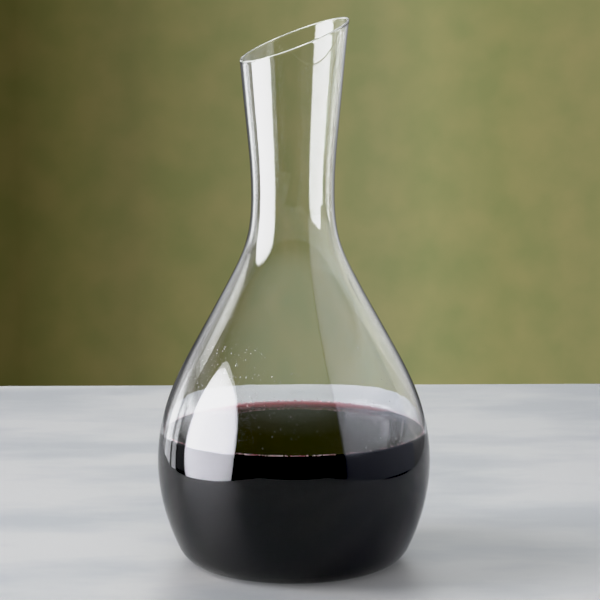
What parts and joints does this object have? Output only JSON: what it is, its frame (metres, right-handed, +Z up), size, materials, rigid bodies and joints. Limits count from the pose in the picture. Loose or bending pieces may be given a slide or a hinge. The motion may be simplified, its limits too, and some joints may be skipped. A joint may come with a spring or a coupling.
{
  "type": "wine decanter",
  "caption": "Clear blown-glass wine decanter with a round belly, narrow waist and flared, slant-cut mouth, filled with red wine to its widest part.",
  "frame": {"origin": "centre of the foot's standing ring, on the surface that the decanter stands on", "axes": "+Z up along the axis of the bowl; the slant-cut mouth has its low, pouring side towards -X and its high side towards +X"},
  "size_m": [0.1374, 0.1374, 0.2746],
  "materials": {
    "clear_glass": "fire-polished, clear and colourless",
    "red_wine": "still liquid, near-black red, pink where it thins at its edge"
  },
  "bodies": {
    "root": {"glass_vessel": "clear_glass", "wine": "red_wine"}
  },
  "joints": []
}
